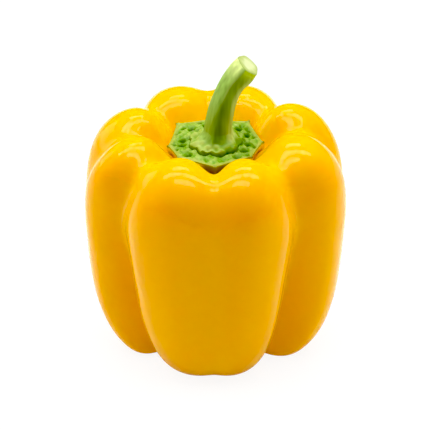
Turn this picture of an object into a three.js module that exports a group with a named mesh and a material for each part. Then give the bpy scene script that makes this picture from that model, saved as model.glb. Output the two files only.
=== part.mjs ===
// A blocky yellow bell pepper with its green calyx and cut stalk, standing on the feet of its four lobes.
// Millimetres, +Z up. The origin is on the surface that it stands on, under the middle of the fruit.
// The broad front lobe faces -Y, and azimuths are counted from +X towards +Y.
import * as THREE from "three";

// Driving dimensions of the fruit.
const FRUIT_RADIUS = 42; // reach of an average lobe
const FRUIT_HEIGHT = 80; // from the surface below to about the top of the shoulders
const PRESSED_FOOT = 0.35; // how much the feet are flattened by the surface below

// Driving dimensions of the calyx and the stalk.
const CALYX_CENTRE = [0.6, 0.3];
const CALYX_TOP = 74.6; // height of the calyx's face where the fruit doesn't lift it
const RIM_THICKNESS = 1.3;
const FACE_THICKNESS = 1.9; // least thickness inside the rim
const SEAT_GAP = 0.3; // between the calyx and the fruit below it
const COLLAR_RADIUS = 8.4; // the scalloped foot of the stalk
const COLLAR_SCALLOPS = 9;
const STALK_RADIUS = 4.1;
const STALK_RIDGES = 5;
const RIDGE_AZIMUTH = 256; // of the ridge that faces the front

// A lobe's outline from the dimple under the calyx, over the shoulder and down to the dimple underneath,
// as control points in percent of the fruit's radius and height.
const CREST = [
  [0, 89], [14, 89], [27, 89.5], [36.5, 94], [47, 103.5], [64.5, 104.5], [81.5, 99], [92, 90.5], [96.5, 79],
  [95.5, 62.5], [93, 43], [89.5, 26.5], [82.5, 14], [73, 5], [62.5, -1], [44, -1.5], [21.5, 4], [0, 12],
];
// The same for a main groove, between two lobes.
const GROOVE = [
  [0, 87.5], [14, 87.5], [27, 87.5], [39.5, 89.5], [53.5, 97], [68, 97.5], [78, 90], [81.5, 78], [78, 65],
  [72, 50], [66, 35], [61, 19], [55, 7], [46, 3], [31, 6], [14.5, 10], [0, 12],
];

// How the lobes swell between their grooves, from the top of those outlines (first) to their bottom (last).
const LOBE_FULLNESS = [2.2, 2.6, 3.6, 4.6, 5.5, 6, 5, 3.6, 2.5]; // 2 is round, 4 is boxy
const BUMP_FULLNESS = [2.4, 2.4, 2.1, 2.1, 2.2, 2.2, 2.2, 2.2, 2.2];
const GROOVE_SOFTNESS = [0.08, 0.14, 0.2, 0.22, 0.16, 0.12, 0.1, 0.1, 0.1];
const MINOR_SHARE = [1, 1, 1, 0.75, 0, 0, 0.1, 0.36, 0.3]; // how far the minor grooves show

// Each lobe starts at a main groove and has a minor groove that parts its shoulder into two bumps.
// reach and rise stretch its outline, and lean moves its shoulder out and its foot in.
const LOBES = [
  { main: 218.5, minor: 270.5, reach: -0.07, rise: -0.01, lean: 0.12, minorDepth: 0.85 },
  { main: 317, minor: 366, reach: 0.068, rise: -0.012, lean: 0, minorDepth: 1 },
  { main: 404, minor: 453.5, reach: 0.024, rise: -0.025, lean: -0.02, minorDepth: 1 },
  { main: 499.5, minor: 542.5, reach: 0.03, rise: -0.014, lean: 0, minorDepth: 0.95 },
];

const FRONT = 270;
const SPREAD = 6; // how much wider the front and back lobes are at half height, in degrees a side
const SPREAD_LEFT = 0.25; // share of that by which the front lobe is wider on its left

// The flesh rises to the calyx's rim in the grooves on both sides of the front lobe.
const FLESH_LIFT = 1.6;
const FLESH_RADIUS = 15.5;
const FLESH_WIDTH = 3;

// The calyx's corners, each over or near a groove: azimuth and reach from its centre.
const CALYX_CORNERS = [
  [216, 14.5], [269.5, 14.1], [325, 14], [363, 15.1], [410, 16.8], [458, 14.8], [496, 17.1], [546, 15],
];

// The stalk's centre line, from inside the calyx to the cut, and its girth from the cut down to the calyx.
const STALK_LINE = [
  [1, 0.3, 73], [1.4, 0.4, 77], [2, 0.5, 83], [3.5, 0.9, 90], [6.1, 1.6, 95.8], [8.7, 2, 99.2],
  [11, 2.4, 102],
];
const STALK_GIRTH = [0.93, 1.04, 1.03, 0.97, 0.93, 0.94, 1, 1.04, 1.08];
const STALK_TOP = 0.985; // where along that line the stalk's side starts, below its rounded edge
const STALK_FOOT = 0.26; // and where it gives way to the flare

// The flare from the stalk down to the collar's lip: share of the collar's radius, height above the calyx's
// face, and how far its middle has moved from the stalk's to the calyx's.
const FLARE = [[0.57, 4.7, 0.1], [0.67, 3.2, 0.35], [0.83, 2.1, 0.65], [0.96, 1.4, 0.9], [1, 0.75, 1]];

// Pits in two rings round the collar, with ridges left between them.
const PIT_RINGS = [
  { radius: 10.3, count: 13, depth: 1.1, size: 0.9 },
  { radius: 12.6, count: 17, depth: 1.4, size: 1.1 },
];
const RIDGE_HEIGHT = 0.4;

const FRUIT_COLUMNS_A_BUMP = 12;
const FRUIT_ROWS = 46;
const CALYX_COLUMNS_A_SIDE = 10;
const STALK_ROWS = 12;
const CRINKLE_ROWS = 9;
const FULL_TURN = 360;

const radians = THREE.MathUtils.degToRad;
const mix = THREE.MathUtils.lerp;
const smooth = THREE.MathUtils.smoothstep;

// A uniform cubic B-spline over a list of control values, at t from 0 to 1. Beyond its ends the list is
// mirrored, with its sign changed where mirror is -1, as a radius is across the axis.
function spline(values, t, mirror = 1) {
  const last = values.length - 1;
  const place = THREE.MathUtils.clamp(t, 0, 1) * last;
  const first = Math.min(Math.floor(place), last - 1);
  const f = place - first;
  const at = (i) => {
    if (i < 0) return mirror * values[-i];
    return i > last ? mirror * values[2 * last - i] : values[i];
  };
  const sum =
    (1 - f) ** 3 * at(first - 1) +
    (3 * f ** 3 - 6 * f ** 2 + 4) * at(first) +
    (-3 * f ** 3 + 3 * f ** 2 + 3 * f + 1) * at(first + 1) +
    f ** 3 * at(first + 2);
  return sum / 6;
}

function outline(points, u) {
  const radius = spline(points.map((p) => p[0]), u, -1);
  const height = spline(points.map((p) => p[1]), u);
  return [(radius / 100) * FRUIT_RADIUS, (height / 100) * FRUIT_HEIGHT];
}

// How far a place between two grooves swells towards the crest. x is -1 and 1 at the grooves.
function swell(x, softness, fullness) {
  const fromGroove = 1 - Math.abs(x);
  const most = Math.hypot(1, softness) - softness;
  const share = (Math.hypot(fromGroove, softness) - softness) / most;
  return 1 - (1 - share) ** fullness;
}

// The lobe that an azimuth falls in, and where it lies across that lobe and across its bump.
function placeAcross(azimuth) {
  const start = LOBES[0].main;
  const a = start + THREE.MathUtils.euclideanModulo(azimuth - start, FULL_TURN);
  const index = LOBES.findLastIndex((lobe) => lobe.main <= a + 1e-9);
  const lobe = LOBES[index];
  const end = LOBES[index + 1]?.main ?? start + FULL_TURN;
  const between = (from, to) => (2 * (a - from)) / (to - from) - 1;
  const acrossBump = a < lobe.minor ? between(lobe.main, lobe.minor) : between(lobe.minor, end);
  return { lobe, acrossLobe: between(lobe.main, end), acrossBump };
}

// Slow unevenness of the grown surface, as a share of the radius.
function waviness(azimuth, u) {
  const a = radians(azimuth);
  return 0.004 * Math.sin(3 * a + 9 * u) + 0.003 * Math.sin(5 * a - 14 * u + 1) * smooth(u, 0.2, 0.45);
}

// How far the flesh rises to the calyx's rim.
function fleshLift(azimuth, radius, u) {
  const offFront = Math.abs(THREE.MathUtils.euclideanModulo(azimuth - FRONT + 180, FULL_TURN) - 180);
  const besideFront = smooth(offFront, 15, 35) - smooth(offFront, 70, 90);
  const atRim = Math.exp(-(((radius - FLESH_RADIUS) / FLESH_WIDTH) ** 2)) * (1 - smooth(u, 0.28, 0.36));
  return FLESH_LIFT * atRim * besideFront;
}

// Radius and height of the fruit's surface, at u along its outlines: 0 under the calyx, 1 underneath.
function fruitProfile(azimuth, u) {
  const { lobe, acrossLobe, acrossBump } = placeAcross(azimuth);
  const softness = spline(GROOVE_SOFTNESS, u);
  const asLobe = swell(acrossLobe, softness, spline(LOBE_FULLNESS, u));
  const asBump = swell(acrossBump, 1.3 * softness, spline(BUMP_FULLNESS, u));
  const share = mix(asLobe, asBump, spline(MINOR_SHARE, u) * lobe.minorDepth);
  const [crestRadius, crestHeight] = outline(CREST, u);
  const [grooveRadius, grooveHeight] = outline(GROOVE, u);
  const stretch = 1 + lobe.reach + lobe.lean * (crestHeight / FRUIT_HEIGHT - 0.5);
  const radius = mix(grooveRadius, crestRadius * stretch, share) * (1 + waviness(azimuth, u));
  const height = mix(grooveHeight, crestHeight * (1 + lobe.rise), share);
  const lift = fleshLift(azimuth, radius, u) * (1 - share);
  return [radius, Math.max(height + lift - PRESSED_FOOT, 0)];
}

// Where a place really lies, because the front and back lobes are wider at half height.
function spreadAzimuth(azimuth, u) {
  const spread = SPREAD * (smooth(u, 0.35, 0.5) - smooth(u, 0.6, 0.85));
  return azimuth - spread * (SPREAD_LEFT - Math.sin(2 * radians(azimuth - FRONT)));
}

function around(radius, azimuth, height, centre = [0, 0]) {
  const a = radians(azimuth);
  return new THREE.Vector3(centre[0] + radius * Math.cos(a), centre[1] + radius * Math.sin(a), height);
}

// Columns that pass through each of the marked azimuths, with the same number of them from mark to mark.
function columnsThrough(marks, each) {
  return marks.flatMap((from, side) => {
    const to = marks[side + 1] ?? marks[0] + FULL_TURN;
    return Array.from({ length: each }, (_, i) => {
      const along = i / each;
      return { azimuth: mix(from, to, along), side, along };
    });
  });
}

// One closed skin over a stack of rings, from a single point at its start to one at its end. The rings
// run anticlockwise seen from the first point's side.
function skin(first, rings, last) {
  const count = rings[0].length;
  const points = [first, ...rings.flat(), last];
  const at = (ring, column) => 1 + ring * count + (column % count);
  const triangles = [];
  for (let c = 0; c < count; c++) {
    triangles.push(0, at(0, c), at(0, c + 1));
    for (let r = 0; r + 1 < rings.length; r++) {
      triangles.push(at(r, c), at(r + 1, c), at(r + 1, c + 1));
      triangles.push(at(r, c), at(r + 1, c + 1), at(r, c + 1));
    }
    triangles.push(points.length - 1, at(rings.length - 1, c + 1), at(rings.length - 1, c));
  }
  const geometry = new THREE.BufferGeometry().setFromPoints(points).setIndex(triangles);
  geometry.computeVertexNormals();
  return geometry;
}

function fruitGeometry() {
  const grooves = LOBES.flatMap((lobe) => [lobe.main, lobe.minor]);
  const columns = columnsThrough(grooves, FRUIT_COLUMNS_A_BUMP);
  const rings = [];
  for (let row = 1; row < FRUIT_ROWS; row++) {
    rings.push(
      columns.map(({ azimuth }) => {
        const u = row / FRUIT_ROWS;
        const [radius, height] = fruitProfile(azimuth, u);
        return around(radius, spreadAzimuth(azimuth, u), height);
      }),
    );
  }
  const pole = (u) => new THREE.Vector3(0, 0, fruitProfile(0, u)[1]);
  return skin(pole(0), rings, pole(1));
}

// Height of the fruit's top at a place under the calyx, found by halving.
function seatHeight(x, y) {
  const azimuth = THREE.MathUtils.radToDeg(Math.atan2(y, x));
  const radius = Math.hypot(x, y);
  let low = 0;
  let high = 0.3;
  for (let i = 0; i < 30; i++) {
    const middle = (low + high) / 2;
    if (fruitProfile(azimuth, middle)[0] < radius) low = middle;
    else high = middle;
  }
  return fruitProfile(azimuth, low)[1];
}

// The calyx's rim, in straight lines from corner to corner.
function rimRadius(side, along) {
  const [mark, from] = CALYX_CORNERS[side];
  const [nextMark, to] = CALYX_CORNERS[(side + 1) % CALYX_CORNERS.length];
  const turn = radians(THREE.MathUtils.euclideanModulo(nextMark - mark, FULL_TURN));
  return (from * to * Math.sin(turn)) / (from * Math.sin(along * turn) + to * Math.sin((1 - along) * turn));
}

function collarRadius(azimuth) {
  const scallop = Math.hypot(Math.cos((radians(azimuth) * COLLAR_SCALLOPS) / 2), 0.2);
  return COLLAR_RADIUS * (0.87 + 0.14 * scallop);
}

// A fixed draw between -0.5 and 0.5 for a pit, so that no pit sits quite in its even place.
function shuffled(ring, pit) {
  const value = Math.sin(ring * 12.9898 + pit * 78.233) * 43758.5453;
  return value - Math.floor(value) - 0.5;
}

// Height of the crinkled face above its smooth one, at a place measured from the calyx's centre.
function crinkle(x, y) {
  let depth = 0;
  PIT_RINGS.forEach(({ radius, count, depth: deepest, size }, ring) => {
    for (let pit = 0; pit < count; pit++) {
      const a = radians((FULL_TURN / count) * (pit + 0.5 * ring + 0.5 * shuffled(ring, pit)));
      const r = radius + 0.9 * shuffled(ring + 7, pit);
      const away = Math.hypot(x - r * Math.cos(a), y - r * Math.sin(a)) / size;
      depth = Math.max(depth, deepest * Math.exp(-(away ** 2.4)));
    }
  });
  return RIDGE_HEIGHT - depth;
}

// Height of the calyx's smooth upper face, which the fruit lifts where it would be thinner than asked.
function faceHeight(x, y, thickness) {
  return Math.max(CALYX_TOP, seatHeight(x, y) + SEAT_GAP + thickness);
}

function stalkRings(columns) {
  const line = new THREE.CatmullRomCurve3(STALK_LINE.map((p) => new THREE.Vector3(...p)));
  const ring = (t, girth) => {
    const centre = line.getPoint(t);
    const forward = line.getTangent(t);
    const across = new THREE.Vector3(1, 0, 0).addScaledVector(forward, -forward.x).normalize();
    const upwards = new THREE.Vector3().crossVectors(forward, across);
    return columns.map(({ azimuth }) => {
      const a = radians(azimuth);
      const offRidge = ((azimuth - RIDGE_AZIMUTH) * STALK_RIDGES) / 2;
      const ridge = 1.055 - 0.12 * Math.abs(Math.sin(radians(offRidge))) ** 1.2;
      const out = across.clone().multiplyScalar(Math.cos(a)).addScaledVector(upwards, Math.sin(a));
      return centre.clone().addScaledVector(out, STALK_RADIUS * girth * ridge);
    });
  };
  const rings = [ring(0.994, 0.45), ring(1, 0.8), ring(0.997, 0.9)];
  for (let row = 0; row <= STALK_ROWS; row++) {
    const down = row / STALK_ROWS;
    rings.push(ring(mix(STALK_TOP, STALK_FOOT, down), spline(STALK_GIRTH, down)));
  }
  return { cut: line.getPoint(0.992), rings, foot: line.getPoint(STALK_FOOT) };
}

// A ring of the calyx, where radiusAt and heightAt give each column's radius and height. Its middle is at
// the calyx's centre, or part of the way to it from the stalk's foot.
function calyxRing(columns, radiusAt, heightAt, foot = null, moved = 1) {
  return columns.map((column) => {
    const centre = foot ? CALYX_CENTRE.map((c, i) => mix(foot[i], c, moved)) : CALYX_CENTRE;
    const collar = collarRadius(column.azimuth);
    const rim = rimRadius(column.side, column.along);
    const p = around(radiusAt(collar, rim), column.azimuth, 0, centre);
    return p.setZ(heightAt(p.x, p.y));
  });
}

function calyxRings(columns, stalkFoot) {
  const foot = [stalkFoot.x, stalkFoot.y];
  const flare = FLARE.map(([share, lift, moved]) =>
    calyxRing(columns, (collar) => collar * share, () => CALYX_TOP + lift, foot, moved),
  );
  // The groove that the collar's lip hangs over.
  const underLip = calyxRing(columns, (collar) => collar + 0.15, () => CALYX_TOP - 0.35);
  const face = Array.from({ length: CRINKLE_ROWS }, (_, row) => {
    const out = (row + 0.6) / CRINKLE_ROWS;
    const [dx, dy] = CALYX_CENTRE;
    const shown = smooth(out, -0.2, 0.15);
    return calyxRing(
      columns,
      (collar, rim) => mix(collar + 0.3, rim - 0.9, out),
      (x, y) => faceHeight(x, y, FACE_THICKNESS) + crinkle(x - dx, y - dy) * shown,
    );
  });
  const rim = [
    calyxRing(columns, (_, rim) => rim - 0.4, (x, y) => faceHeight(x, y, RIM_THICKNESS) + 0.25),
    calyxRing(columns, (_, rim) => rim, (x, y) => faceHeight(x, y, RIM_THICKNESS)),
  ];
  const under = [0.99, 0.86, 0.6, 0.3].map((share) =>
    calyxRing(columns, (_, rim) => rim * share, (x, y) => seatHeight(x, y) + SEAT_GAP),
  );
  return [...flare, underLip, ...face, ...rim, ...under];
}

function capGeometry() {
  const corners = CALYX_CORNERS.map(([azimuth]) => azimuth);
  const columns = columnsThrough(corners, CALYX_COLUMNS_A_SIDE);
  const stalk = stalkRings(columns);
  const middle = new THREE.Vector3(...CALYX_CENTRE, seatHeight(...CALYX_CENTRE) + SEAT_GAP);
  return skin(stalk.cut, [...stalk.rings, ...calyxRings(columns, stalk.foot)], middle);
}

const SKIN_YELLOW = 0xf2b200;
const CALYX_GREEN = 0x7fae3c;

const fruit = fruitGeometry();
fruit.computeBoundingBox();
const middle = fruit.boundingBox.getCenter(new THREE.Vector3());

// The lobes' axis lies a little off the fruit's middle, which the origin is under.
function piece(name, geometry, color, roughness) {
  const mesh = new THREE.Mesh(geometry, new THREE.MeshStandardMaterial({ color, roughness, metalness: 0 }));
  mesh.name = name;
  mesh.position.set(-middle.x, -middle.y, 0);
  return mesh;
}

const pepper = new THREE.Group();
pepper.add(piece("fruit", fruit, SKIN_YELLOW, 0.25));
pepper.add(piece("calyx_and_stalk", capGeometry(), CALYX_GREEN, 0.55));

export default pepper;
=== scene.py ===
"""A blocky yellow bell pepper with its calyx and cut stalk, on a white floor under soft studio light.

Metres, +Z up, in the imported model's frame. The pieces are worked out about the axis between the four
lobes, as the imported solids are, and then moved so that the origin is under the middle of the fruit.
"""

import math

import bpy
import numpy as np
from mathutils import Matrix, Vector


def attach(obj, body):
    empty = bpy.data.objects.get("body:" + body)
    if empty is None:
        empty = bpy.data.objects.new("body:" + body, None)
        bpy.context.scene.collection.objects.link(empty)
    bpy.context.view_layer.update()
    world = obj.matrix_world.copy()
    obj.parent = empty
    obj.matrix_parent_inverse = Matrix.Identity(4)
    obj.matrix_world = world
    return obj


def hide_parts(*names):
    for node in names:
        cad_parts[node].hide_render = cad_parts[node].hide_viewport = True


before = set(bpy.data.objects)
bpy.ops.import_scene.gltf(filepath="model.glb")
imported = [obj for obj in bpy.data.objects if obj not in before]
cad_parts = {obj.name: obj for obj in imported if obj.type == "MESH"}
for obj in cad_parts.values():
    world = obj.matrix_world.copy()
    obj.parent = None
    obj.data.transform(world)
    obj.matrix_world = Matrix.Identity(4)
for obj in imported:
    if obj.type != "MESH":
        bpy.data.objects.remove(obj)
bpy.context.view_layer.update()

MM = 0.001
FULL_TURN = 360

# Driving dimensions, in millimetres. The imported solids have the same, but for the calyx's rim, the flesh's
# lift, and the pits and the ridges between them.
FRUIT_RADIUS = 42
FRUIT_HEIGHT = 80
PRESSED_FOOT = 0.35
CALYX_CENTRE = (0.6, 0.3)
CALYX_TOP = 74.6
RIM_THICKNESS = 1
FACE_THICKNESS = 1.9
SEAT_GAP = 0.3
COLLAR_RADIUS = 8.4
COLLAR_SCALLOPS = 9
STALK_RADIUS = 4.1

# Outlines of a lobe's crest and of a main groove, from the dimple under the calyx over the shoulder to the
# dimple underneath: control points in percent of the fruit's radius and height.
CREST = [
    (0, 89), (14, 89), (27, 89.5), (36.5, 94), (47, 103.5), (64.5, 104.5), (81.5, 99), (92, 90.5),
    (96.5, 79), (95.5, 62.5), (93, 43), (89.5, 26.5), (82.5, 14), (73, 5), (62.5, -1), (44, -1.5),
    (21.5, 4), (0, 12),
]
GROOVE = [
    (0, 87.5), (14, 87.5), (27, 87.5), (39.5, 89.5), (53.5, 97), (68, 97.5), (78, 90), (81.5, 78), (78, 65),
    (72, 50), (66, 35), (61, 19), (55, 7), (46, 3), (31, 6), (14.5, 10), (0, 12),
]

# How the lobes swell between their grooves, from the top of those outlines to their bottom.
LOBE_FULLNESS = [2.2, 2.6, 3.6, 4.6, 5.5, 6, 5, 3.6, 2.5]
BUMP_FULLNESS = [2.4, 2.4, 2.1, 2.1, 2.2, 2.2, 2.2, 2.2, 2.2]
GROOVE_SOFTNESS = [0.08, 0.14, 0.2, 0.22, 0.16, 0.12, 0.1, 0.1, 0.1]
MINOR_SHARE = [1, 1, 1, 0.75, 0, 0, 0.1, 0.36, 0.3]

# Each lobe: azimuths of its main and minor groove, its reach, rise and lean, and the minor groove's depth.
LOBES = [
    (218.5, 270.5, -0.07, -0.01, 0.12, 0.85),
    (317, 366, 0.068, -0.012, 0, 1),
    (404, 453.5, 0.024, -0.025, -0.02, 1),
    (499.5, 542.5, 0.03, -0.014, 0, 0.95),
]

# The calyx's corners: azimuth and reach from its centre.
CALYX_CORNERS = [
    (216, 14.5), (269.5, 14.1), (325, 14), (363, 15.1), (410, 16.8), (458, 14.8), (496, 17.1), (546, 15),
]

# The stalk's centre line, its girth from the cut down, and where along the line its side starts and ends.
STALK_LINE = [
    (1, 0.3, 73), (1.4, 0.4, 77), (2, 0.5, 83), (3.5, 0.9, 90), (6.1, 1.6, 95.8), (8.7, 2, 99.2),
    (11, 2.4, 102),
]
STALK_GIRTH = [0.93, 1.04, 1.03, 0.97, 0.93, 0.94, 1, 1.04, 1.08]
STALK_TOP = 0.985
STALK_FOOT = 0.26

# The flare down to the collar's lip: share of its radius, height above the face, and how far its middle
# has moved from the stalk's to the calyx's.
FLARE = [(0.57, 4.7, 0.1), (0.67, 3.2, 0.35), (0.83, 2.1, 0.65), (0.96, 1.4, 0.9), (1, 0.75, 1)]

# Rings of pits round the collar: radius, count, depth and size.
PIT_RINGS = [(10.7, 13, 1.4, 1.3), (13, 17, 1, 0.9)]
PIT_UNEVENNESS = 0.4

FRONT = 270
SPREAD = 6  # how much wider the front and back lobes are at half height, in degrees a side
SPREAD_LEFT = 0.25  # share of that by which the front lobe is wider on its left

# The flesh rises to the calyx's rim in the grooves on both sides of the front lobe.
FLESH_LIFT = 2.4
FLESH_RADIUS = 15.5
FLESH_WIDTH = 3

RIM_HOLLOW = 0.012
RIM_DROOP = 0.2
NUB_LENGTH = 0.45
RIDGE_HEIGHT = 0.45

FRUIT_COLUMNS_A_BUMP = 40
FRUIT_ROWS = 260
PACKED_COLUMNS_A_BUMP = 12
PACKED_ROWS = 46
CALYX_COLUMNS_A_SIDE = 48


def mix(a, b, share):
    return a + (b - a) * share


def smooth(x, low, high):
    t = np.clip((x - low) / (high - low), 0, 1)
    return t * t * (3 - 2 * t)


def blend(colours, weight, colour):
    """Colours moved towards one colour by a weight from 0 to 1 at each place."""
    weight = np.clip(weight, 0, 1)[..., None]
    return mix(colours, np.array(colour), weight)


def degrees_from(mark, azimuth):
    """Degrees round from a mark, from -180 to 180."""
    return (azimuth - mark + FULL_TURN / 2) % FULL_TURN - FULL_TURN / 2


def spline(values, t, mirror=1):
    """A uniform cubic B-spline over values, mirrored beyond its ends, at t from 0 to 1."""
    values = np.asarray(values, float)
    last = len(values) - 1
    padded = np.concatenate([[mirror * values[1]], values, [mirror * values[-2]]])
    place = np.clip(t, 0, 1) * last
    first = np.minimum(np.floor(place).astype(int), last - 1)
    f = place - first
    a, b, c, d = (padded[first + i] for i in range(4))
    parts = (1 - f) ** 3 * a + (3 * f**3 - 6 * f**2 + 4) * b
    parts += (-3 * f**3 + 3 * f**2 + 3 * f + 1) * c + f**3 * d
    return parts / 6


def outline(points, u):
    radii, heights = zip(*points)
    return spline(radii, u, -1) / 100 * FRUIT_RADIUS, spline(heights, u) / 100 * FRUIT_HEIGHT


def swell(x, softness, fullness):
    """How far a place between two grooves, which are at x = -1 and 1, swells towards the crest."""
    from_groove = 1 - np.abs(x)
    most = np.hypot(1, softness) - softness
    share = (np.hypot(from_groove, softness) - softness) / most
    return 1 - (1 - share) ** fullness


def place_across(azimuth):
    """The lobe that each azimuth falls in, and where it lies across that lobe and across its bump."""
    starts = np.array([lobe[0] for lobe in LOBES])
    ends = np.append(starts[1:], starts[0] + FULL_TURN)
    minors = np.array([lobe[1] for lobe in LOBES])
    a = starts[0] + (azimuth - starts[0]) % FULL_TURN
    index = np.searchsorted(starts, a + 1e-9, side="right") - 1
    start, minor, end = starts[index], minors[index], ends[index]

    def between(low, high):
        return 2 * (a - low) / (high - low) - 1

    across_bump = np.where(a < minor, between(start, minor), between(minor, end))
    return index, between(start, end), across_bump


def waviness(azimuth, u):
    a = np.radians(azimuth)
    slow = 0.004 * np.sin(3 * a + 9 * u)
    return slow + 0.003 * np.sin(5 * a - 14 * u + 1) * smooth(u, 0.2, 0.45)


def fruit_profile(azimuth, u):
    """Radius and height of the fruit's surface at u along its outlines: 0 is on top and 1 underneath."""
    index, across_lobe, across_bump = place_across(azimuth)
    _, _, reach, rise, lean, minor_depth = np.array(LOBES, float)[index].T
    reach, rise, lean, minor_depth = (v.T for v in (reach, rise, lean, minor_depth))
    softness = spline(GROOVE_SOFTNESS, u)
    as_lobe = swell(across_lobe, softness, spline(LOBE_FULLNESS, u))
    as_bump = swell(across_bump, 1.3 * softness, spline(BUMP_FULLNESS, u))
    share = mix(as_lobe, as_bump, spline(MINOR_SHARE, u) * minor_depth)
    crest_radius, crest_height = outline(CREST, u)
    groove_radius, groove_height = outline(GROOVE, u)
    stretch = 1 + reach + lean * (crest_height / FRUIT_HEIGHT - 0.5)
    radius = mix(groove_radius, crest_radius * stretch, share) * (1 + waviness(azimuth, u))
    height = mix(groove_height, crest_height * (1 + rise), share)
    off_front = np.abs(degrees_from(FRONT, azimuth))
    lift = FLESH_LIFT * np.exp(-(((radius - FLESH_RADIUS) / FLESH_WIDTH) ** 2)) * (1 - smooth(u, 0.28, 0.36))
    beside_front = smooth(off_front, 15, 35) - smooth(off_front, 70, 90)
    height = height + lift * (1 - share) * beside_front
    return radius, np.maximum(height - PRESSED_FOOT, 0)


def spread_azimuth(azimuth, u):
    """Where a place really lies, because the front and back lobes are wider at half height."""
    spread = SPREAD * (smooth(u, 0.35, 0.5) - smooth(u, 0.6, 0.85))
    return azimuth - spread * (SPREAD_LEFT - np.sin(2 * np.radians(azimuth - FRONT)))


def around(radius, azimuth, height, centre=(0, 0)):
    a = np.radians(azimuth)
    x, y, z = np.broadcast_arrays(centre[0] + radius * np.cos(a), centre[1] + radius * np.sin(a), height)
    return np.stack([x, y, z], axis=-1)


def columns_through(marks, each):
    """Azimuths through each mark, evenly spaced between marks, and each one's side and place along it."""
    ends = [*marks[1:], marks[0] + FULL_TURN]
    along = np.tile(np.arange(each) / each, len(marks))
    side = np.repeat(np.arange(len(marks)), each)
    azimuth = mix(np.array(marks, float)[side], np.array(ends, float)[side], along)
    return azimuth, side, along


def closed_faces(rows, count):
    """Faces over rings of points numbered from 1, with point 0 before them and one more after them."""
    columns = np.arange(count)
    after = (columns + 1) % count
    ring = 1 + np.arange(rows - 1)[:, None] * count
    quads = np.stack([ring + columns, ring + count + columns, ring + count + after, ring + after], axis=-1)
    last = rows * count + 1
    low = last - count
    faces = quads.reshape(-1, 4).tolist()
    faces += np.stack([np.zeros_like(columns), 1 + columns, 1 + after], axis=-1).tolist()
    faces += np.stack([np.full_like(columns, last), low + after, low + columns], axis=-1).tolist()
    return faces


def make_piece(name, first, rings, last, paint, material):
    """A closed smooth piece over rings of points, in millimetres, painted with a colour at each point."""
    rows, count, _ = rings.shape
    points = np.concatenate([[first], rings.reshape(-1, 3), [last]])
    colours = np.concatenate([paint[:1, 0], paint.reshape(-1, 3), paint[-1:, 0]])
    mesh = bpy.data.meshes.new(name)
    mesh.from_pydata(((points - middle) * MM).tolist(), [], closed_faces(rows, count))
    mesh.polygons.foreach_set("use_smooth", np.ones(len(mesh.polygons), bool))
    layer = mesh.color_attributes.new("paint", "FLOAT_COLOR", "POINT")
    layer.data.foreach_set("color", np.column_stack([colours, np.ones(len(points))]).ravel())
    mesh.materials.append(material)
    piece = bpy.data.objects.new(name, mesh)
    bpy.context.scene.collection.objects.link(piece)
    return piece


def ripple(points, wavelength, seed, waves=7):
    """Smooth unevenness between about -1 and 1 from a few seeded waves through space."""
    draw = np.random.default_rng(seed)
    total = 0
    for _ in range(waves):
        direction = draw.normal(size=3)
        direction /= np.linalg.norm(direction)
        length = wavelength * draw.uniform(0.7, 1.5)
        total = total + np.sin(points @ direction * (2 * math.pi / length) + draw.uniform(0, 2 * math.pi))
    return total / math.sqrt(2 * waves)


# The fruit.
DENT_DEPTH = 0.07
DENT_LENGTH = 17
FRUIT_YELLOW = (0.9, 0.47, 0.002)
AMBER_TONE_AND_SHADE = (0.88, 0.4, 0.001)
LIT_SHOULDER_YELLOW = (0.9, 0.5, 0.002)


def fruit_rings():
    grooves = [mark for lobe in LOBES for mark in lobe[:2]]
    azimuth, _, _ = columns_through(grooves, FRUIT_COLUMNS_A_BUMP)
    u = np.arange(1, FRUIT_ROWS)[:, None] / FRUIT_ROWS
    azimuth, u = np.broadcast_arrays(azimuth, u)
    radius, height = fruit_profile(azimuth, u)
    azimuth = spread_azimuth(azimuth, u)
    smooth_skin = around(radius, azimuth, height)
    shown = smooth(u, 0.12, 0.22) * (1 - smooth(u, 0.78, 0.86))
    radius = radius + DENT_DEPTH * ripple(smooth_skin, DENT_LENGTH, seed=4) * shown
    return around(radius, azimuth, height), u


def pole(u):
    return np.array([0, 0, float(fruit_profile(np.array(0.0), np.array(float(u)))[1])])


def paint_fruit(rings, u):
    """Yellow, with painted light making it lighter over the shoulders, painted shade in an amber band below
    them, and faint streaks down the fruit.
    """
    stretched = rings * (1, 1, 0.12)
    # Painted shade: an amber band just below the shoulders all round, over an even amber tone with faint
    # streaks that are the skin's own.
    share = 0.25 + 0.18 * ripple(stretched, 9, seed=11) + 0.5 * np.exp(-(((u - 0.415) / 0.035) ** 2))
    colours = blend(np.array(FRUIT_YELLOW) + np.zeros(rings.shape), share, AMBER_TONE_AND_SHADE)
    # Painted light: from the top down to the shoulders the skin is painted a lighter yellow.
    return blend(colours, 1 - smooth(u, 0.3, 0.37), LIT_SHOULDER_YELLOW)


def principled(name, **values):
    material = bpy.data.materials.new(name)
    material.use_nodes = True
    nodes = material.node_tree.nodes
    shader = nodes["Principled BSDF"]
    for socket, value in values.items():
        shader.inputs[socket.replace("_", " ")].default_value = value
    return material, shader


def painted(name, **values):
    """A Principled material whose base colour is the piece's own paint."""
    material, shader = principled(name, **values)
    paint = material.node_tree.nodes.new("ShaderNodeVertexColor")
    paint.layer_name = "paint"
    material.node_tree.links.new(paint.outputs["Color"], shader.inputs["Base Color"])
    return material, shader


def fruit_material():
    material, shader = painted("waxy_yellow_skin", Roughness=0.15)
    shader.inputs["Specular IOR Level"].default_value = 0.22
    shader.inputs["Subsurface Weight"].default_value = 0.5
    shader.inputs["Subsurface Radius"].default_value = (0.006, 0.003, 0.001)
    shader.inputs["Subsurface Scale"].default_value = 1
    return material


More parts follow.
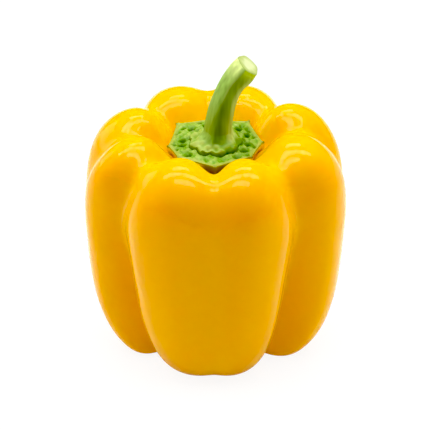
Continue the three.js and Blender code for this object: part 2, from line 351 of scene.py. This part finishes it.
# The calyx and the stalk.
STALK_ROWS = 90
CUT_ROWS = 14
CUT_TILT = 0.7  # how far the cut's front edge lies below its middle
RIDGE_AZIMUTH = 256  # of the ridge that shows in front
STALK_RIDGES = 5
FACE_ROWS = 70
COLLAR_SHOWN = [0, 0.3, 0.8, 1, 1]  # how far the collar's scallops show at each ring of the flare
LUMP_HEIGHT = 0.55  # of the collar's lumps
GRAIN_HEIGHT = 0.22
LIT_AZIMUTH = 212  # the side of the collar that is painted palest, as painted light from that side
RIM_PROFILE = [(0.55, 0.3), (0.25, 0.25), (0.05, 0.1), (0, -0.15), (0.1, -0.6)]  # inwards and up
FLARE_ROWS = 10  # rings from each ring of the flare to the next
STALK_RINGS_ABOVE = 12  # how far up the stalk lies the ring that the flare's curve starts from

# Colours of the green piece.
CUT_CREAM = (0.66, 0.72, 0.38)
CUT_EDGE = (0.45, 0.53, 0.17)
CUT_RIM = (0.24, 0.33, 0.06)
STALK_LIT_PALE = (0.66, 0.76, 0.27)
STALK_LIME = (0.46, 0.6, 0.05)
STALK_GREY = (0.31, 0.48, 0.11)
STALK_SHADE_OLIVE = (0.15, 0.27, 0.035)
COLLAR_GREEN = (0.19, 0.35, 0.03)
COLLAR_PALE_AND_LIT = (0.44, 0.56, 0.14)
FACE_GREEN = (0.19, 0.36, 0.035)
RIDGE_GREEN = (0.4, 0.53, 0.12)
SHADE_GREEN = (0.07, 0.16, 0.006)
RIM_PALE = (0.38, 0.46, 0.09)
WALL_OLIVE = (0.22, 0.24, 0.04)
WALL_BROWN = (0.2, 0.15, 0.01)
SHADE_LIFTING_YELLOW = (0.85, 0.75, 0.02)  # painted light: greener than the flesh, it lightens the reddish shade between the pieces


def seat_height(x, y):
    """Height of the fruit's top at places under the calyx, found by halving."""
    azimuth = np.degrees(np.arctan2(y, x))
    radius = np.hypot(x, y)
    low = np.zeros_like(radius)
    high = np.full_like(radius, 0.3)
    for _ in range(30):
        half = (low + high) / 2
        inside = fruit_profile(azimuth, half)[0] < radius
        low = np.where(inside, half, low)
        high = np.where(inside, high, half)
    return fruit_profile(azimuth, low)[1]


def near_corner(along):
    return np.exp(-((np.minimum(along, 1 - along) / 0.04) ** 2))


def rim_radius(side, along):
    """Reach of the rim, in straight lines from corner to corner, with a small nub at each corner."""
    marks, reach = np.array(CALYX_CORNERS, float).T
    turn = np.radians((np.roll(marks, -1) - marks) % FULL_TURN)[side]
    start, end = reach[side], np.roll(reach, -1)[side]
    straight = start * end * np.sin(turn)
    straight /= start * np.sin(along * turn) + end * np.sin((1 - along) * turn)
    return straight * (1 - RIM_HOLLOW * np.sin(math.pi * along)) + NUB_LENGTH * near_corner(along)


def collar_radius(azimuth):
    scallop = np.hypot(np.cos(np.radians(azimuth) * COLLAR_SCALLOPS / 2), 0.2)
    return COLLAR_RADIUS * (0.87 + 0.14 * scallop)


def shuffled(ring, pit):
    value = math.sin(ring * 12.9898 + pit * 78.233) * 43758.5453
    return value - math.floor(value) - 0.5


def pits(x, y):
    """Depth of the pits, uneven and shallow in front, at places measured from the calyx's centre."""
    places = np.stack([x, y, np.zeros_like(x)], axis=-1)
    x = x + PIT_UNEVENNESS * ripple(places, 2.6, seed=21)
    y = y + PIT_UNEVENNESS * ripple(places, 2.6, seed=22)
    depth = np.zeros(x.shape)
    off_front = degrees_from(FRONT, np.degrees(np.arctan2(y, x)))
    for ring, (radius, count, deepest, size) in enumerate(PIT_RINGS):
        for pit in range(count):
            a = math.radians(FULL_TURN / count * (pit + 0.5 * ring + 0.5 * shuffled(ring, pit)))
            r = radius + 0.9 * shuffled(ring + 7, pit)
            away = np.hypot(x - r * math.cos(a), y - r * math.sin(a)) / size
            depth = np.maximum(depth, deepest * np.exp(-(away**2.4)))
    return depth * (1 - 0.6 * np.exp(-((off_front / 38) ** 2)))


def face_height(x, y, thickness, droop=0):
    return np.maximum(CALYX_TOP - droop, seat_height(x, y) + SEAT_GAP + thickness)


def stalk_point(t):
    """Points on a centripetal Catmull-Rom curve through the stalk's centre line, at t from 0 to 1."""
    line = np.array(STALK_LINE, float)
    line = np.concatenate([[2 * line[0] - line[1]], line, [2 * line[-1] - line[-2]]])
    place = np.clip(t, 0, 1) * (len(STALK_LINE) - 1)
    first = np.minimum(np.floor(place).astype(int), len(STALK_LINE) - 2)
    w = (place - first)[..., None]
    p0, p1, p2, p3 = (line[first + i] for i in range(4))

    def gap(a, b):
        return np.linalg.norm(b - a, axis=-1, keepdims=True) ** 0.5

    d0, d1, d2 = gap(p0, p1), gap(p1, p2), gap(p2, p3)
    start = ((p1 - p0) / d0 - (p2 - p0) / (d0 + d1) + (p2 - p1) / d1) * d1
    end = ((p2 - p1) / d1 - (p3 - p1) / (d1 + d2) + (p3 - p2) / d2) * d1
    square = -3 * p1 + 3 * p2 - 2 * start - end
    cube = 2 * p1 - 2 * p2 + start + end
    return p1 + start * w + square * w**2 + cube * w**3


def paint_stalk(rings, azimuth, down):
    """Grey-green with fine lengthwise streaks; painted light makes it pale on the left below the cut, on the
    far right facet and along the front ridge, painted shade makes an olive band in front that darkens
    towards the foot, and it is lime below the cut.
    """
    azimuth, down = np.broadcast_arrays(azimuth, down)
    off = degrees_from(RIDGE_AZIMUTH, azimuth)
    colours = np.broadcast_to(np.array(STALK_GREY), rings.shape)
    # Painted shade: an olive band down the front, right of the ridge, darker towards the foot.
    shade_band = np.exp(-(((off - mix(22, 8, down)) / mix(20, 36, down)) ** 2))
    colours = blend(colours, shade_band * (0.45 + 0.5 * smooth(down, 0.3, 0.85)), STALK_SHADE_OLIVE)
    high = 1 - smooth(down, 0.02, 0.3)
    colours = blend(colours, high * smooth(off, 0, 14), STALK_LIME)
    # Painted light: pale on the left below the cut, on the far right facet, and in a line along the front
    # ridge.
    colours = blend(colours, (1 - smooth(down, 0, 0.5)) * (1 - smooth(off, -18, 2)), STALK_LIT_PALE)
    colours = blend(colours, 0.45 * smooth(off, 42, 62) * smooth(down, 0.1, 0.3), STALK_LIT_PALE)
    colours = blend(colours, 0.2 * np.exp(-((off / 5) ** 2)) * (1 - smooth(down, 0.5, 0.8)), STALK_LIT_PALE)
    streaks = ripple(rings * (1, 1, 0.1), 1.6, seed=5) + 0.7 * ripple(rings * (1, 1, 0.1), 0.7, seed=6)
    return colours * (1 + 0.1 * streaks[..., None])


def paint_cut(rings, out):
    """Cream in the middle of the cut, greener towards its edge, with a thin dark rim."""
    patches = 0.12 * ripple(rings, 2.5, seed=8)
    out = np.broadcast_to(out, rings.shape[:-1])
    colours = blend(np.array(CUT_CREAM) + np.zeros(rings.shape), smooth(out + patches, 0.3, 0.9), CUT_EDGE)
    return blend(colours, smooth(out, 0.92, 1), CUT_RIM)


def stalk_section(azimuth):
    """The stalk's rounded five-sided section, as a share of its radius."""
    a = np.radians(azimuth - RIDGE_AZIMUTH) * STALK_RIDGES / 2
    return 1.055 - 0.12 * np.abs(np.sin(a)) ** 1.2


def stalk_ring(t, radius, azimuth):
    """Rings about the stalk's line at each t, square to it."""
    delta = 1e-4
    centre = stalk_point(t)
    forward = stalk_point(np.minimum(t + delta, 1)) - stalk_point(t - delta)
    forward /= np.linalg.norm(forward, axis=-1, keepdims=True)
    across = np.array([1.0, 0, 0]) - forward * forward[..., :1]
    across /= np.linalg.norm(across, axis=-1, keepdims=True)
    upwards = np.cross(forward, across)
    a = np.radians(azimuth)[..., None]
    out = across * np.cos(a) + upwards * np.sin(a)
    return centre + out * radius[..., None]


def stalk_rings(azimuth):
    """Rings over the cut, its rounded edge and down the stalk's side, with their paint."""
    down = np.arange(STALK_ROWS + 1) / STALK_ROWS
    t_side = mix(STALK_TOP, STALK_FOOT, down)
    girth_side = spline(STALK_GIRTH, down)
    out_cut = np.arange(1, CUT_ROWS + 1) / CUT_ROWS
    edge = 1 - smooth(out_cut, 0.8, 1.15)
    t_cut = mix(STALK_TOP, 0.993, edge) + 0.006 * out_cut**2 * edge
    girth_cut = girth_side[0] * out_cut * 0.97
    t = np.concatenate([t_cut, t_side])[:, None]
    girth = np.concatenate([girth_cut, girth_side])[:, None]
    t, girth, azimuth = np.broadcast_arrays(t, girth, azimuth)
    radius = STALK_RADIUS * girth * stalk_section(azimuth)
    rings = stalk_ring(t, radius, azimuth)
    near_cut = np.concatenate([out_cut, 1 - smooth(down, 0, 0.15)])[:, None] * np.sin(np.radians(azimuth))
    top = stalk_point(np.array([STALK_TOP - 0.01, STALK_TOP]))
    along_top = (top[1] - top[0]) / np.linalg.norm(top[1] - top[0])
    rings = rings + CUT_TILT * near_cut[..., None] * along_top
    cut = paint_cut(rings[:CUT_ROWS], out_cut[:, None])
    side = paint_stalk(rings[CUT_ROWS:], azimuth[CUT_ROWS:], down[:, None])
    return rings, np.concatenate([cut, side])


def through(rings, rows):
    """Rings on a smooth curve through the given rings, rows of them from each to the next."""
    line = np.concatenate([[2 * rings[0] - rings[1]], rings, [2 * rings[-1] - rings[-2]]])
    made = []
    for i in range(1, len(line) - 2):
        p0, p1, p2, p3 = line[i - 1 : i + 3]
        for w in np.arange(rows) / rows:
            start = (p2 - p0) / 2
            end = (p3 - p1) / 2
            made.append(
                (2 * w**3 - 3 * w**2 + 1) * p1
                + (w**3 - 2 * w**2 + w) * start
                + (3 * w**2 - 2 * w**3) * p2
                + (w**3 - w**2) * end
            )
    return np.array(made)


def paint_flare(rings, azimuth):
    """From the stalk's colours at the top to the collar's, which is lumpy, with painted light making it
    palest at the front left and painted shade darkening it where it meets the face.
    """
    down = np.linspace(0, 1, len(rings))[:, None]
    azimuth, down = np.broadcast_arrays(azimuth, down)
    colours = paint_stalk(rings, azimuth, np.ones_like(down))
    colours = blend(colours, smooth(down, 0.3, 0.75), COLLAR_GREEN)
    # Painted light: the collar is paler on the side towards the light, on top of its random lumps.
    to_lit_side = 0.5 + 0.5 * np.cos(np.radians(azimuth - LIT_AZIMUTH))
    lumps = 0.15 + 0.6 * ripple(rings, 2.5, seed=12) + 1.5 * (to_lit_side - 0.5)
    colours = blend(colours, lumps * smooth(down, 0.35, 0.6), COLLAR_PALE_AND_LIT)
    # Painted shade: darker where the collar meets the face.
    return blend(colours, 0.6 * smooth(down, 0.8, 1), SHADE_GREEN)


def paint_face(rings, depth, crevice, out):
    """Green, paler on the ridges between the pits and on the rim, with painted shade darkening the pits and
    the crevice at the collar.
    """
    out = np.broadcast_to(out, depth.shape)
    mottle = ripple(rings, 2.2, seed=13) + 0.5 * ripple(rings, 1, seed=15)
    colours = np.broadcast_to(np.array(FACE_GREEN), rings.shape)
    colours = blend(colours, (0.45 + 0.5 * mottle) * (1 - smooth(depth, 0.1, 0.5)), RIDGE_GREEN)
    # Painted shade: the pits and the crevice round the collar are painted dark.
    colours = blend(colours, smooth(depth, 0.35, 1.2), SHADE_GREEN)
    colours = blend(colours, 0.6 * crevice, SHADE_GREEN)
    return blend(colours, 0.8 * smooth(out, 0.85, 1), RIM_PALE)


def calyx_rings(azimuth, side, along, stalk):
    """Rings down the flare, over the calyx's face, round its rim and back underneath, with their paint."""
    collar = collar_radius(azimuth)
    rim = rim_radius(side, along)
    foot = stalk_point(np.array(STALK_FOOT))[:2]

    def ring(radius, lift, moved=1.0):
        centre = mix(foot, np.array(CALYX_CENTRE), moved)
        return around(radius, azimuth, CALYX_TOP + lift, centre)

    plain = 0.95 * COLLAR_RADIUS * stalk_section(azimuth)
    flare = np.array(
        [
            ring(mix(plain, collar, scalloped) * share, lift, moved)
            for (share, lift, moved), scalloped in zip(FLARE, COLLAR_SHOWN)
        ]
    )
    above = stalk[-STALK_RINGS_ABOVE : 1 - STALK_RINGS_ABOVE]
    flare = through(np.concatenate([above, stalk[-1:], flare]), FLARE_ROWS)[FLARE_ROWS + 1 :]
    lumps = ripple(flare, 2.5, seed=12)[..., None] * (0, 0, LUMP_HEIGHT)
    flare = flare + lumps * smooth(np.linspace(0, 1, len(flare)), 0.3, 0.6)[:, None, None]

    def on_face(radius, lift_at):
        points = around(radius, azimuth, 0, CALYX_CENTRE)
        points[..., 2] = lift_at(points[..., 0], points[..., 1])
        return points

    under_lip = ring(collar - 0.1, -0.2)[None]
    out = (np.arange(FACE_ROWS)[:, None] + 0.6) / FACE_ROWS
    dx, dy = CALYX_CENTRE
    droop = RIM_DROOP * smooth(out, 0.3, 1)
    thickness = mix(FACE_THICKNESS, 1.6, out)
    reach = mix(collar + 0.3, rim - 0.9, out)
    smooth_face = on_face(reach, lambda x, y: face_height(x, y, thickness, droop))
    depth = pits(smooth_face[..., 0] - dx, smooth_face[..., 1] - dy)
    broken = np.clip(0.45 + 0.6 * ripple(smooth_face, 4, seed=14), 0, 1)
    crevice = broken * (1 - smooth(out, 0, 0.2))
    grain = ripple(smooth_face, 2.2, seed=13) + 0.5 * ripple(smooth_face, 1, seed=15)
    relief = RIDGE_HEIGHT - depth + GRAIN_HEIGHT * grain - 0.5 * crevice
    top = smooth_face + relief[..., None] * (0, 0, 1)

    def rim_ring(inwards, lift):
        reach = (rim - inwards)[None]
        return on_face(reach, lambda x, y: face_height(x, y, RIM_THICKNESS, RIM_DROOP) + lift)

    edge = np.concatenate([rim_ring(inwards, lift) for inwards, lift in RIM_PROFILE])
    under = np.array([0.97, 0.86, 0.6, 0.3])[:, None]
    below = on_face(rim * under, lambda x, y: seat_height(x, y) + SEAT_GAP)
    rings = np.concatenate([flare, under_lip, top, edge, below])
    # Painted shade: the underside of the collar's lip is painted dark.
    lip_paint = np.broadcast_to(np.array(SHADE_GREEN), under_lip.shape)
    rim_paint = np.broadcast_to(np.array(RIM_PALE), edge.shape)
    wall = smooth(np.arange(len(edge)), 1.5, 3.5)[:, None] * np.ones(len(azimuth))
    nub = near_corner(along) * np.ones((len(edge), 1))
    rim_paint = blend(blend(rim_paint, wall, WALL_OLIVE), 0.8 * nub, WALL_OLIVE)
    # Painted light: beside the front, the rim's lowest ring and the underside are painted flesh yellow to
    # lighten the shade between the pieces.
    lightened_beside_front = smooth(np.abs(degrees_from(FRONT, azimuth)), 12, 30)
    rim_paint[-1:] = blend(rim_paint[-1:], lightened_beside_front, SHADE_LIFTING_YELLOW)
    below_paint = blend(np.broadcast_to(np.array(WALL_BROWN), below.shape), lightened_beside_front, SHADE_LIFTING_YELLOW)
    flare_paint = paint_flare(flare, azimuth)
    face_paint = paint_face(top, depth, crevice, out)
    return rings, np.concatenate([flare_paint, lip_paint, face_paint, rim_paint, below_paint])


def cap_material():
    material, shader = painted("calyx_green", Roughness=0.42)
    shader.inputs["Specular IOR Level"].default_value = 0.2
    return material


def cap_piece():
    azimuth, side, along = columns_through([c[0] for c in CALYX_CORNERS], CALYX_COLUMNS_A_SIDE)
    stalk, stalk_paint = stalk_rings(azimuth)
    calyx, calyx_paint = calyx_rings(azimuth, side, along, stalk)
    rings = np.concatenate([stalk, calyx])
    paint = np.concatenate([stalk_paint, calyx_paint])
    cut = stalk_point(np.array(0.993))
    x, y = CALYX_CENTRE
    last = np.array([x, y, float(seat_height(np.array(x), np.array(y))) + SEAT_GAP])
    return make_piece("pepper_calyx_and_stalk", cut, rings, last, paint, cap_material())


def fruit_piece():
    rings, u = fruit_rings()
    return make_piece("pepper_fruit", pole(0), rings, pole(1), paint_fruit(rings, u), fruit_material())


def fruit_middle():
    """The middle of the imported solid's box in the lobes' own frame, which the model's origin is under."""
    grooves = [mark for lobe in LOBES for mark in lobe[:2]]
    azimuth, _, _ = columns_through(grooves, PACKED_COLUMNS_A_BUMP)
    u = np.arange(1, PACKED_ROWS)[:, None] / PACKED_ROWS
    azimuth, u = np.broadcast_arrays(azimuth, u)
    radius, height = fruit_profile(azimuth, u)
    points = around(radius, spread_azimuth(azimuth, u), height).reshape(-1, 3)
    low, high = points.min(axis=0), points.max(axis=0)
    return np.array([(low[0] + high[0]) / 2, (low[1] + high[1]) / 2, 0])


middle = fruit_middle()

fruit = fruit_piece()
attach(fruit, "root")
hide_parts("fruit")

cap = cap_piece()
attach(cap, "root")
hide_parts("calyx_and_stalk")


# The table, the lights and the camera.
TABLE_SIZE = 8
CAMERA_DISTANCE = 0.9
CAMERA_ELEVATION = 33.8
PIXELS_PER_MM = 3.1
IMAGE_WIDTH_PX = 430
SENSOR_WIDTH = 36
LOOKED_AT_HEIGHT = 38
LOOKED_AT_PX = (213.45, 239.85)  # where that point on the lobes' axis shows
LIT_HEIGHT = 0.04  # in metres, of the point that the lights face
WORLD_STRENGTH = 0.15
OVERHEAD_RADIANCE = 3.4
SIDE_RADIANCE = 2.4
EDGE_RADIANCES = ((-1, 2), (1, 0.4))  # left and right
STRIP_RADIANCE = 6.3
STRIP_WIDTH = 0.25
STRIP_SPAN = 0.8
STRIPS_MIDDLE = (-0.03, 0.05, 1.05)
BLACK_LEVEL = 0.055


def add_surface(name, height, shade, glow, **visible):
    """A flat grey surface at a height, with an even glow of its own."""
    half = TABLE_SIZE / 2
    mesh = bpy.data.meshes.new(name)
    corners = [(-half, -half, height), (half, -half, height), (half, half, height), (-half, half, height)]
    mesh.from_pydata(corners, [], [(0, 1, 2, 3)])
    material, shader = principled(name, Roughness=0.9)
    shader.inputs["Base Color"].default_value = (shade, shade, shade, 1)
    shader.inputs["Specular IOR Level"].default_value = 0
    shader.inputs["Emission Color"].default_value = (1, 1, 1, 1)
    shader.inputs["Emission Strength"].default_value = glow
    mesh.materials.append(material)
    surface = bpy.data.objects.new(name, mesh)
    bpy.context.scene.collection.objects.link(surface)
    for kind, value in visible.items():
        setattr(surface, kind, value)


def add_table():
    """A grey, faintly glowing table that lights the pepper, and a glowing floor seen in its place."""
    add_surface("table", -0.1 * MM, 0.75, 0.18, visible_camera=False)
    add_surface("floor", 0, 0.12, 0.9, visible_diffuse=False, visible_glossy=False, visible_shadow=False)


def add_panel(name, size, place, radiance, **visible):
    """A rectangular light that faces the pepper's middle. Its power gives it the radiance asked for."""
    light = bpy.data.lights.new(name, "AREA")
    light.shape = "RECTANGLE"
    light.size, light.size_y = size
    light.energy = radiance * math.pi * size[0] * size[1]
    panel = bpy.data.objects.new(name, light)
    panel.location = place
    panel.rotation_euler = (Vector((0, 0, LIT_HEIGHT)) - Vector(place)).to_track_quat("-Z", "Y").to_euler()
    bpy.context.scene.collection.objects.link(panel)
    for kind, value in visible.items():
        setattr(panel, kind, value)


def add_lights():
    world = bpy.data.worlds.new("studio")
    bpy.context.scene.world = world
    world.use_nodes = True
    background = world.node_tree.nodes["Background"]
    background.inputs["Color"].default_value = (1, 1, 1, 1)
    background.inputs["Strength"].default_value = WORLD_STRENGTH
    # The large panels light the pepper without showing in its gloss, where the others alone show.
    add_panel("overhead", (1.3, 1.3), (0, 0.1, 1.1), OVERHEAD_RADIANCE, visible_glossy=False)
    for side in (-1, 1):
        place = (side * 1, 0.15, 0.45)
        add_panel(f"side_{side:+d}", (0.9, 0.8), place, SIDE_RADIANCE, visible_glossy=False)
    for side, radiance in EDGE_RADIANCES:
        add_panel(f"edge_{side:+d}", (0.4, 0.5), (side * 0.75, 0.5, 0.3), radiance, visible_diffuse=False)
    # A frame of four strips, which shows as arcs of light on the shoulders.
    x, y, z = STRIPS_MIDDLE
    for sign in (-1, 1):
        off = sign * STRIP_SPAN / 2
        wide, deep = (STRIP_SPAN, STRIP_WIDTH), (STRIP_WIDTH, STRIP_SPAN)
        add_panel(f"strip_x{sign:+d}", wide, (x, y + off, z), STRIP_RADIANCE, visible_diffuse=False)
        add_panel(f"strip_y{sign:+d}", deep, (x + off, y, z), STRIP_RADIANCE, visible_diffuse=False)


def add_camera():
    elevation = math.radians(CAMERA_ELEVATION)
    backwards = Vector((0, -math.cos(elevation), math.sin(elevation)))
    up = Vector((0, math.sin(elevation), math.cos(elevation)))
    right = Vector((1, 0, 0))
    looked_at = Vector((-middle[0], -middle[1], LOOKED_AT_HEIGHT)) * MM
    half = IMAGE_WIDTH_PX / 2
    aside = right * (half - LOOKED_AT_PX[0]) + up * (LOOKED_AT_PX[1] - half)
    aim = looked_at + aside * (MM / PIXELS_PER_MM)
    data = bpy.data.cameras.new("camera")
    data.sensor_width = SENSOR_WIDTH
    data.lens = PIXELS_PER_MM / MM * CAMERA_DISTANCE / IMAGE_WIDTH_PX * SENSOR_WIDTH
    camera = bpy.data.objects.new("camera", data)
    camera.location = looked_at + backwards * CAMERA_DISTANCE
    camera.rotation_euler = (aim - camera.location).to_track_quat("-Z", "Y").to_euler()
    bpy.context.scene.collection.objects.link(camera)
    bpy.context.scene.camera = camera


add_table()
add_lights()
add_camera()
view = bpy.context.scene.view_settings
view.view_transform = "Standard"
view.use_curve_mapping = True
view.curve_mapping.black_level = (BLACK_LEVEL,) * 3
view.curve_mapping.update()
